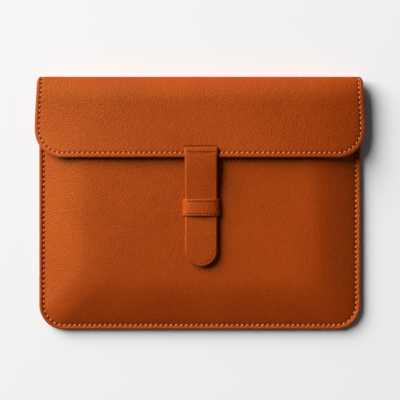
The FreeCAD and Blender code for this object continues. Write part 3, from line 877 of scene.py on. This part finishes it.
def flap_seam():
    """Thread around the flap; it passes under the strap."""
    line = flap_line(SEAM_D)

    def place(x, v):
        return flap_point(x, v, -0.24 - 0.6 * float(smooth((v - FOLD_Y + 6.0) / 6.0)))

    def under_strap(p):
        return abs(p[0] - STRAP_X) < STRAP_W + 1.2 and p[1] < ROOT_Y

    return seam_row("flap_seam_thread", line, place, STITCH_HALF, THREAD_R, STITCH_RISE, under_strap)


def flap_inner_seam():
    """The same seam on the inside of the flap."""
    line = flap_line(SEAM_D)

    def place(x, v):
        return flap_point(x, v, -2.95)

    return seam_row("flap_inner_thread", line, place, INNER_HALF, INNER_R, 0.2, below=True)


def flap_lining():
    """Lining of the flap and of the upper half of the spine."""
    counts = (70, 26, 110)
    depth = FLAP_END - FLAP_EDGE_Y
    steps = [2.2, 3.5, 4.6, 5.4, 6.2, 7.5, 10, 15, 22, 29, *range(35, 65, 3)]
    steps += list(np.linspace(66, depth, 24))
    verts, rest = [], []
    for d in steps:
        line = flap_line(d, counts)
        x, v = line[:, 0], line[:, 1]
        inner = 2.15 - 0.55 * smooth((v - 112.0) / 14.0)
        h = -inner + 0.25 * math.exp(-(((d - SEAM_D) / 1.0) ** 2))
        h = h + 0.08 * ripple(x, v, 30.0, 1.3)
        verts.append(flap_point(x, v, h))
        rest.append(np.column_stack([x, v, h]))
    return skin("flap_lining_cloth", verts, SHOWN_LINING, MICROFIBRE, rest=rest)


def flap_board():
    """Stiffener inside the flap."""
    end = FOLD_Y - BEND_R - 3.0
    counts = (30, 12, 80)
    verts = []
    for d in np.linspace(9.0, end - FLAP_EDGE_Y - 0.5, 14):
        line = flap_line(d, counts, end)
        verts.append(flap_point(line[:, 0], line[:, 1], np.full(len(line), -1.35)))
    return skin("flap_board_stiffener", verts, 0.6, BOARD_MAT)


# ---- back

BACK_COUNTS = (380, 46, 428)
BACK_INSET = 1.3

# across the edge of the back: distance from the edge and height outwards
BACK_EDGE = ease_curve(
    [(3.4, -1.5), (1.4, -1.5), (0.4, -1.35), (0.0, -0.8), (0.35, -0.25), (1.2, -0.02), (2.4, 0.0),
     (3.4, -0.1), (4.1, -0.4), (4.8, -0.3), (6.0, -0.05), (7.5, 0.0)],
    EDGE_STEPS,
)
BACK_STEPS = (9, 11, 13, 16, 21, 30, 45, 65, 90, 120, 150)


def rim_lift(d, v):
    """The rim stands off the table on the three closed sides."""
    closed_side = 1 - smooth((v - RIM_DOWN_Y) / RIM_DOWN_LEN)
    return RIM_Z * closed_side * (1 - smooth((d - 6.0) / 8.0))


def back_line(d, counts):
    """Outline of the back's flat leather, drawn in by d."""
    w = max(POUCH_W - BACK_INSET - d, 0.0)
    low = BOTTOM_Y + BACK_INSET + d
    radius = min(max(CORNER_R - d, CORNER_R - RIM_W), w)
    return u_line(w, low, BACK_END, radius, counts)


def back_panel():
    """Outer leather of the back and the lower half of the spine."""
    rings = [tuple(p) for p in BACK_EDGE] + [(float(d), 0.0) for d in BACK_STEPS]
    rings.append((POUCH_W - BACK_INSET - INNERMOST, 0.0))
    seam_d = SEAM_D - BACK_INSET
    seam = lengths_along(back_line(seam_d, BACK_COUNTS))
    verts, hole, dark_edge_and_shade, rest = [], [], [], []
    for i, (d, h) in enumerate(rings):
        line = back_line(d, BACK_COUNTS)
        x, v = line[:, 0], line[:, 1]
        top_side = i > UNDERSIDE_RINGS
        near = holes_on(seam, d, 0.6, seam_d) if top_side else np.zeros(len(x))
        lift = h - rim_lift(d, v) - 0.4 * near
        verts.append(back_point(x, v, lift))
        rest.append(np.column_stack([x, v, lift - 200.0]))
        # Painted shade in the needle holes; darker outer edge, with painted shade on the turned-under
        # side and in the seam valley.
        hole.append(np.clip(1.4 * near, 0, 1))
        dark_edge_and_shade.append(np.full(len(x), edge_and_shade_darkening(d, seam_d, 0.45, top_side)))
    marks = {"hole": hole, "dark_edge_and_shade": dark_edge_and_shade}
    return skin("back_panel_leather", verts, SHOWN_LEATHER, TAN, marks, rest, flip=True)


def back_seam():
    """Seam on the underside; it runs on around the ends of the spine."""
    seam_d = SEAM_D - BACK_INSET
    line = back_line(seam_d, BACK_COUNTS)

    def place(x, v):
        on_table = SUNK_THREAD * float(1 - smooth((v - FOLD_Y + BEND_R) / BEND_R))
        return back_point(x, v, -0.34 - max(float(rim_lift(seam_d, v)), on_table))

    return seam_row("back_seam_thread", line, place, INNER_HALF, INNER_R, 0.1, below=True)


def back_lining():
    """Lining of the back, over its padding and up the lower half of the spine."""
    counts = (110, 14, 100)
    steps = (0.5, 2, 4, 6, 8, 11, 14, 18, 24, 34, 50, 75, 105, 140, POUCH_W - BACK_INSET - INNERMOST)
    verts, rest = [], []
    for d in steps:
        line = back_line(d, counts)
        x, v = line[:, 0], line[:, 1]
        pad = LEATHER + FOAM * smooth((d - 4.0) / 12.0)
        near_fold = smooth((v - MOUTH_Y + 8.0) / 9.0)
        h = -(pad * (1 - near_fold) + 1.55 * near_fold) - 0.15
        h = h - rim_lift(d, v) - 0.08 * ripple(x, v, 34.0, 5.5)
        verts.append(back_point(x, v, h))
        rest.append(np.column_stack([x, v, h]))
    obj = skin("back_lining_cloth", verts, SHOWN_LINING, MICROFIBRE, rest=rest)
    obj.modifiers["thickness"].offset = 1.0
    return obj


def back_padding():
    """Foam pad inside the back."""
    counts = (40, 12, 60)
    verts = []
    for d in (15, 16, 18, 24, 40, 70, 110, 150, POUCH_W - INNERMOST):
        line = pouch_line(d, MOUTH_Y - 12.0, counts)
        z = LEATHER + 0.1 + (FOAM - 0.3) * smooth((d - 14.0) / 3.0)
        verts.append(np.column_stack([line, np.full(len(line), z)]))
    return skin("back_padding_foam", verts, 1.8, FOAM_MAT)


# ---- strap

STRAP_FLAT_Y = 3.0
STRAP_DROP = root_under_z - strap_under_z
STRAP_LIFT = 3.0  # the strap lies this far off the front by the flap
TIP_LIFT = 1.8  # and this far at its tip
STRAP_COUNTS = (150, 40, 36)


def strap_point(x, y, h):
    """Place of a point of the strap; it steps down from the flap to the front panel."""
    x, y, h = (np.asarray(a, float) for a in (x, y, h))
    length = HINGE_Y - STRAP_FLAT_Y
    e = 0.1

    def level(at):
        t = np.clip((at - STRAP_FLAT_Y) / length, 0, 1)
        ease = 0.5 * t + 0.5 * smooth(t)
        lift = TIP_LIFT + (STRAP_LIFT - TIP_LIFT) * smooth((at - STRAP_TIP_Y) / 75.0)
        raised = lift * (1 - ease) + ease * spring(np.maximum(at, HINGE_Y))
        return strap_under_z + STRAP_DROP * ease + raised

    slope = (level(y + e) - level(y - e)) / (2 * e)
    flat = 1 / np.hypot(1.0, slope)
    flare = 1 + 0.036 * smooth((y - 49.0) / 7.0)
    px = x * flare + STRAP_X
    py = y - slope * flat * h
    pz = level(y) + flat * h
    return np.stack(np.broadcast_arrays(px, py, pz), axis=-1)


def strap_line(d):
    """Outline of the strap, drawn in by d."""
    w = STRAP_W - d
    low, top = STRAP_TIP_Y + d, ROOT_Y - d
    return loop_line(w, low, top, w, min(max(1.2 - d, 0.05), w), STRAP_COUNTS)


def strap_layer(name, profile, decorate, material):
    """Closed strip swept through (inset, height) pairs, from its underside to its top."""
    verts, hole, dark_edge_and_shade, rest = [], [], [], []
    for i, (d, h) in enumerate(profile):
        line = strap_line(min(d, STRAP_W - INNERMOST))
        x, y = line[:, 0], line[:, 1]
        lift, near, mark = decorate(x, y, d, i)
        verts.append(strap_point(x, y, h + lift))
        rest.append(np.column_stack([x, y - 400.0, h + lift]))
        hole.append(near)
        dark_edge_and_shade.append(mark)
    faces = ring_faces(len(profile), len(verts[0]), True)
    marks = {"hole": np.concatenate(hole), "dark_edge_and_shade": np.concatenate(dark_edge_and_shade)}
    obj = make_mesh(name, np.vstack(verts), faces, marks, np.vstack(rest))
    weld(obj)
    return finish_piece(obj, material)


STRAP_TOP = ease_curve(
    [(8.0, 1.2), (1.6, 1.2), (0.5, 1.22), (0.0, 1.35), (0.12, 1.65), (0.75, 2.35), (1.4, 2.85),
     (2.0, 3.0), (2.9, 3.03), (4.2, 3.05), (5.5, 3.07)],
    EDGE_STEPS,
)
STRAP_UNDER = ease_curve(
    [(6.0, 0.0), (1.5, 0.0), (0.6, 0.1), (0.3, 0.55), (0.6, 1.0), (1.5, 1.15), (6.0, 1.15)], EDGE_STEPS
)
TIP_SEAM_D = 3.4  # row around the tip, from the strap's edge
ANCHOR_Y = 55.1  # row that sews the strap to the flap
FINE_HALF = 1.45
ROW_XS = [(k + 0.5) * FINE_PITCH for k in range(-4, 4)]
UP = np.array([0.0, 0.0, 1.0])


def strap_outer():
    """Outer leather of the strap, with its bevelled edge and faint seams."""
    profile = [(STRAP_W, 1.2)] + [tuple(p) for p in STRAP_TOP]
    profile += [(8.5, 3.1), (12.0, 3.13), (STRAP_W, 3.15)]
    centre = STRAP_TIP_Y + STRAP_W
    seam_r = STRAP_W - TIP_SEAM_D

    def decorate(x, y, d, i):
        top_side = i > UNDERSIDE_RINGS
        angle = np.arctan2(x, centre - y)
        tip = smooth((centre + 1.0 - y) / 2.0)
        along_tip = (angle * seam_r + FINE_PITCH / 2) % FINE_PITCH - FINE_PITCH / 2
        dip = np.exp(-(((d - TIP_SEAM_D) / 0.6) ** 2)) * tip
        spot = np.exp(-((along_tip / 0.6) ** 2)) * dip
        across = (x + FINE_PITCH / 2) % FINE_PITCH - FINE_PITCH / 2
        row = np.exp(-(((y - ANCHOR_Y) / 0.6) ** 2)) * smooth((14.6 - np.abs(x)) / 1.0)
        dot = np.exp(-((across / 0.8) ** 2)) * row
        # Underside: painted shade all over. Top: painted shade in the seam grooves and needle holes,
        # and a darker side wall that stands for dark edge paint and for the shade at the strap's foot.
        if not top_side:
            return np.zeros(len(x)), np.zeros(len(x)), np.full(len(x), 0.7)
        lift = -0.12 * dip - 0.2 * spot - 0.14 * row - 0.22 * dot
        lift = lift + 0.05 * ripple(x, y, 14.0, 9.0)
        mark = 0.1 * dip + 0.2 * row + 0.8 * math.exp(-((d / 0.4) ** 2))
        return lift, np.clip(0.55 * spot + 0.8 * dot, 0, 1), np.clip(mark, 0, 1)

    return strap_layer("strap_leather_outer", profile, decorate, TAN)


def strap_under():
    """Second layer of leather under the strap."""
    profile = [(STRAP_W, 0.0)] + [tuple(p) for p in STRAP_UNDER] + [(STRAP_W, 1.15)]

    def shade_at_foot(x, y, d, i):
        blank = np.zeros(len(x))
        # Painted shade at the strap's foot: the under layer is darkened at its edge.
        edge = np.full(len(x), 0.6 * math.exp(-((d / 0.5) ** 2)))
        return blank, blank, edge

    return strap_layer("strap_leather_under", profile, shade_at_foot, UNDER)


def fine_thread(name, centres, dirs, half=FINE_HALF, radius=FINE_R, rise=0.10):
    """Short tone-on-tone stitches, seen from above."""
    row = thread_row(name, centres, dirs, [UP] * len(centres), half, radius, rise)
    return finish_piece(row, BROWN)


def strap_anchor_thread():
    """Row that sews the strap to the flap."""
    centres = [strap_point(x, ANCHOR_Y, 3.0) for x in ROW_XS]
    dirs = [strap_point(x + 0.2, ANCHOR_Y, 3.0) - c for x, c in zip(ROW_XS, centres)]
    return fine_thread("strap_anchor_thread", centres, dirs)


def strap_tip_thread():
    """Row that follows the round tip."""
    centre = STRAP_TIP_Y + STRAP_W
    r = STRAP_W - TIP_SEAM_D
    step = FINE_PITCH / r
    count = int(math.pi / 2 / step)
    centres, dirs = [], []
    for k in range(-count, count):
        a = (k + 0.5) * step
        o = strap_point(r * math.sin(a), centre - r * math.cos(a), 2.80)
        centres.append(o)
        dirs.append(np.array([math.cos(a), math.sin(a), 0.0]))
    return fine_thread("strap_tip_thread", centres, dirs, 1.0, 0.26, 0.02)


# ---- keeper

KEEPER_W = keeper_high[0] - 0.1
KEEPER_MID_Y = (keeper_low[1] + keeper_high[1]) / 2
KEEPER_HALF = (keeper_high[1] - keeper_low[1]) / 2
KEEPER_ROW = KEEPER_HALF - 2.6


def arch_path(depth):
    """Section of the keeper from foot to foot: points and outward normals."""
    w, foot, top = KEEPER_W, keeper_low[2] + 0.2, keeper_high[2] + 3.9
    half = ease_curve(
        [(-w, foot), (-w, top - 7.8), (-w + 0.3, top - 5.9), (-w + 1.3, top - 4.0),
         (-w + 3.1, top - 2.5), (-w + 5.3, top - 1.5), (-w + 8.3, top - 0.75),
         (-7.0, top - 0.18), (-3.5, top - 0.04), (0.0, top)],
        7,
    )
    path = np.vstack([half, half[-2::-1] * (-1.0, 1.0)])
    run = np.gradient(path, axis=0)
    run = run / np.hypot(run[:, 0], run[:, 1])[:, None]
    normals = np.column_stack([-run[:, 1], run[:, 0]])
    return path - normals * depth + (STRAP_X, 0.0), normals


def keeper_layer(name, depth, section, material, mark_rows):
    """Sweeps a closed (width, height) section along the arch."""
    path, normals = arch_path(depth)
    verts, hole, dark_edge_and_shade = [], [], []
    loop = len(section)
    for (px, pz), (nx, nz) in zip(path, normals):
        for w, h in section:
            dip, spot = 0.0, 0.0
            if mark_rows and h > -0.4:
                from_mid = px - STRAP_X
                in_row = 1.0 if abs(from_mid) < 15.0 else 0.0
                dip = math.exp(-(((abs(w) - KEEPER_ROW) / 0.55) ** 2)) * in_row
                across = (from_mid + FINE_PITCH / 2) % FINE_PITCH - FINE_PITCH / 2
                spot = dip * math.exp(-((across / 0.8) ** 2))
            lift = h - 0.15 * dip - 0.2 * spot
            verts.append((px + nx * lift, KEEPER_MID_Y + w, pz + nz * lift))
            # Painted shade in the needle holes, along the stitch rows, and over the band's underside.
            hole.append(min(0.8 * spot, 1.0))
            dark_edge_and_shade.append(min(0.15 * dip + (0.5 if h < -0.9 else 0.0), 1.0))
    faces = [(a, d, c, b) for a, b, c, d in ring_faces(len(path), loop, True)]
    last = (len(path) - 1) * loop
    faces.append(tuple(range(loop)))
    faces.append(tuple(last + k for k in reversed(range(loop))))
    obj = make_mesh(name, verts, faces, {"hole": hole, "dark_edge_and_shade": dark_edge_and_shade})
    return finish_piece(obj, material)


def band_section(half, thickness, bevel):
    """Closed section of a strip with rounded edges, starting under its left edge."""
    rows = np.linspace(-half + 1.8, half - 1.8, 33)
    left = [(-half + 0.5, -thickness), (-half, -thickness * 0.6), (-half + 0.12, -bevel),
            (-half + 0.5, -0.12), (-half + 1.1, 0.04)]
    right = [(-w, h) for w, h in reversed(left)]
    under = [(w, -thickness) for w in np.linspace(half - 1.5, -half + 1.5, 5)]
    return left + [(w, 0.0) for w in rows] + right + under


def keeper_band():
    """Outer leather of the keeper."""
    section = band_section(KEEPER_HALF, SHOWN_LEATHER, 0.45)
    return keeper_layer("keeper_band_leather", 0.0, section, TAN, True)


def keeper_lining():
    """Inner layer of the keeper."""
    section = band_section(KEEPER_HALF - 0.25, 0.6, 0.25)
    return keeper_layer("keeper_band_lining", 1.22, section, UNDER, False)


def keeper_thread():
    """Tone-on-tone rows along both edges of the keeper."""
    path, _ = arch_path(0.0)
    order = np.argsort(path[:, 0])
    centres, dirs = [], []
    for w in (-KEEPER_ROW, KEEPER_ROW):
        for x in ROW_XS:
            at = x + STRAP_X
            z0, z1 = np.interp([at - 0.2, at + 0.2], path[order, 0], path[order, 1])
            centres.append(np.array([at, KEEPER_MID_Y + w, (z0 + z1) / 2 - 0.05]))
            dirs.append(np.array([0.4, 0.0, z1 - z0]))
    return fine_thread("keeper_thread", centres, dirs)


# ---- build and attach

# Start and end of each bend, in metres in the frame.
BACK_BEND = ((0, 0.1278, 0.0), (0, 0.1368, 0.009))
FRONT_BEND = ((0, 0.1368, 0.017), (0, 0.1278, 0.026))
STRAP_BEND = ((0, 0.0565, 0.027), (0, 0.0460, 0.027))


def fixed(piece, body, *nodes):
    """A piece that moves with one body and stands for the given CAD nodes."""
    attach(piece, body)
    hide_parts(*nodes)
    return piece


def bent(piece, first, second, bend, *nodes):
    """A piece left where it was built, standing for the given CAD nodes; first, second and bend are
    not used.
    """
    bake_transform(piece)
    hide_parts(*nodes)
    return piece


fixed(front_panel(), "pouch", "front_panel")
fixed(front_seam(), "pouch", "front_seam_stitches")
lining_f = fixed(front_lining(), "pouch", "front_lining")
pad_f = fixed(front_padding(), "pouch", "front_padding")
fixed(mouth_thread(), "pouch", "mouth_stitches")

bent(back_panel(), "pouch", "spine", BACK_BEND, "back_panel", "back_fold_leather")
bent(back_seam(), "pouch", "spine", BACK_BEND, "back_seam_stitches")
lining_b = bent(back_lining(), "pouch", "spine", BACK_BEND, "back_lining", "back_fold_lining")
pad_b = fixed(back_padding(), "pouch", "back_padding")

flap = bent(flap_leather(), "spine", "flap", FRONT_BEND,
            "flap_leather", "front_fold_leather", "spine_leather")
bent(flap_seam(), "spine", "flap", FRONT_BEND, "flap_stitches", "spine_stitches")
bent(flap_inner_seam(), "spine", "flap", FRONT_BEND, "flap_inner_stitches")
lining_l = bent(flap_lining(), "spine", "flap", FRONT_BEND,
                "flap_lining", "front_fold_lining", "spine_lining")
fixed(flap_board(), "flap", "flap_board")

bent(strap_outer(), "flap", "strap", STRAP_BEND, "strap_leather", "strap_root_leather")
bent(strap_under(), "flap", "strap", STRAP_BEND, "strap_lining", "strap_root_lining")
bent(strap_anchor_thread(), "flap", "strap", STRAP_BEND, "strap_anchor_stitches")
fixed(strap_tip_thread(), "strap", "strap_tip_stitches")

fixed(keeper_band(), "pouch", "keeper_band")
fixed(keeper_lining(), "pouch", "keeper_lining")
fixed(keeper_thread(), "pouch", "keeper_stitches")


# The three linings are cut flat, with two round corners each, and glued in.


# ---- floor, light, camera


def floor_material():
    """Matt, almost white."""
    mat, _, _, shader = graph("floor")
    shader.inputs["Base Color"].default_value = (0.90, 0.90, 0.90, 1.0)
    shader.inputs["Roughness"].default_value = 0.85
    shader.inputs["Specular IOR Level"].default_value = 0.1
    return mat


def soft_light(name, place, size, energy):
    """Round softbox aimed at the sleeve."""
    data = bpy.data.lights.new(name, "AREA")
    data.shape = "DISK"
    data.size = size
    data.energy = energy
    lamp = bpy.data.objects.new(name, data)
    lamp.location = place
    lamp.rotation_euler = (-Vector(place)).to_track_quat("-Z", "Y").to_euler()
    scene.collection.objects.link(lamp)


def studio():
    """Pale floor, a large soft key and a low soft light from the upper left, and a dim even sky."""
    bpy.ops.mesh.primitive_plane_add(size=30.0, location=(0, 0, 0))
    floor = bpy.context.object
    floor.name = "floor"
    floor.data.materials.append(floor_material())
    world = bpy.data.worlds.new("sky")
    scene.world = world
    world.use_nodes = True
    sky = world.node_tree.nodes["Background"]
    sky.inputs[0].default_value = (1.0, 1.0, 1.0, 1.0)
    sky.inputs[1].default_value = 0.06
    soft_light("key", (-7.9, 5.2, 5.65), 9.0, 2250.0)
    soft_light("back", (-3.6, 6.2, 2.5), 3.0, 150.0)


def camera():
    """Straight above, with a long lens."""
    data = bpy.data.cameras.new("camera")
    data.sensor_width = 36.0
    data.lens = 108.0
    cam = bpy.data.objects.new("camera", data)
    cam.location = (0.0, 0.0039, 1.306)
    cam.rotation_euler = (0.0, 0.0, 0.0)
    scene.collection.objects.link(cam)
    scene.camera = cam


studio()
camera()
scene.view_settings.view_transform = "Standard"
scene.view_settings.look = "None"
